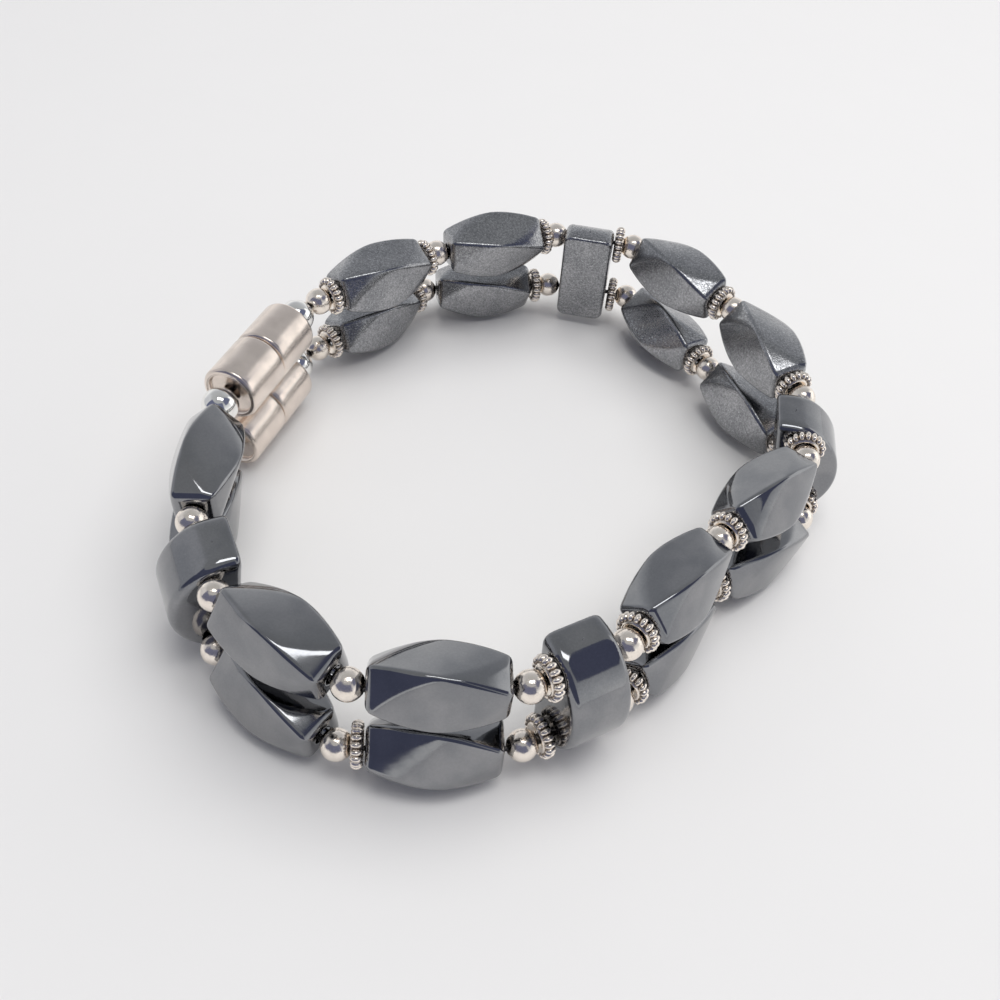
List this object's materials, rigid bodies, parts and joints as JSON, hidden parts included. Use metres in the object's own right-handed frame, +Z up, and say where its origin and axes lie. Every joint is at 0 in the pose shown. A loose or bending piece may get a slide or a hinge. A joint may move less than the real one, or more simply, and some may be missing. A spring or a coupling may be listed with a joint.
{
  "type": "hematite beaded bracelet",
  "caption": "Two-strand bracelet of twisted hematite beads with two-hole bars, silver spacers and magnetic barrel clasps, standing on its edge as a closed loop.",
  "frame": {"origin": "on the floor under the middle of the bracelet's outline, seen from above", "axes": "+Z up, along the way that the wrist goes through; -Y towards the front of the loop, with the clasps at the left, on the -X side"},
  "size_m": [0.0692, 0.0765, 0.0161],
  "materials": {
    "hematite": "polished, dark metallic grey, faintly mottled",
    "clasp_metal": "satin, warm grey plating",
    "bright_silver": "polished",
    "antique_silver": "worn silver, dark in the recesses",
    "string_wire": "dull coated wire"
  },
  "bodies": {
    "root": {"upper_bead_1": "hematite", "upper_bead_2": "hematite", "upper_bead_3": "hematite", "upper_bead_4": "hematite", "upper_bead_5": "hematite", "upper_bead_6": "hematite", "upper_bead_7": "hematite", "upper_bead_8": "hematite", "upper_bead_9": "hematite", "lower_bead_1": "hematite", "lower_bead_2": "hematite", "lower_bead_3": "hematite", "lower_bead_4": "hematite", "lower_bead_5": "hematite", "lower_bead_6": "hematite", "lower_bead_7": "hematite", "lower_bead_8": "hematite", "lower_bead_9": "hematite", "bar_1": "hematite", "bar_2": "hematite", "bar_3": "hematite", "bar_4": "hematite", "upper_clasp_half_a": "clasp_metal", "upper_clasp_half_b": "clasp_metal", "lower_clasp_half_a": "clasp_metal", "lower_clasp_half_b": "clasp_metal", "upper_end_ball_a": "bright_silver", "upper_end_ball_b": "bright_silver", "lower_end_ball_a": "bright_silver", "lower_end_ball_b": "bright_silver", "upper_round_spacers": "antique_silver", "lower_round_spacers": "antique_silver", "upper_fluted_spacers": "antique_silver", "lower_fluted_spacers": "antique_silver", "upper_string": "string_wire", "lower_string": "string_wire"}
  },
  "joints": []
}
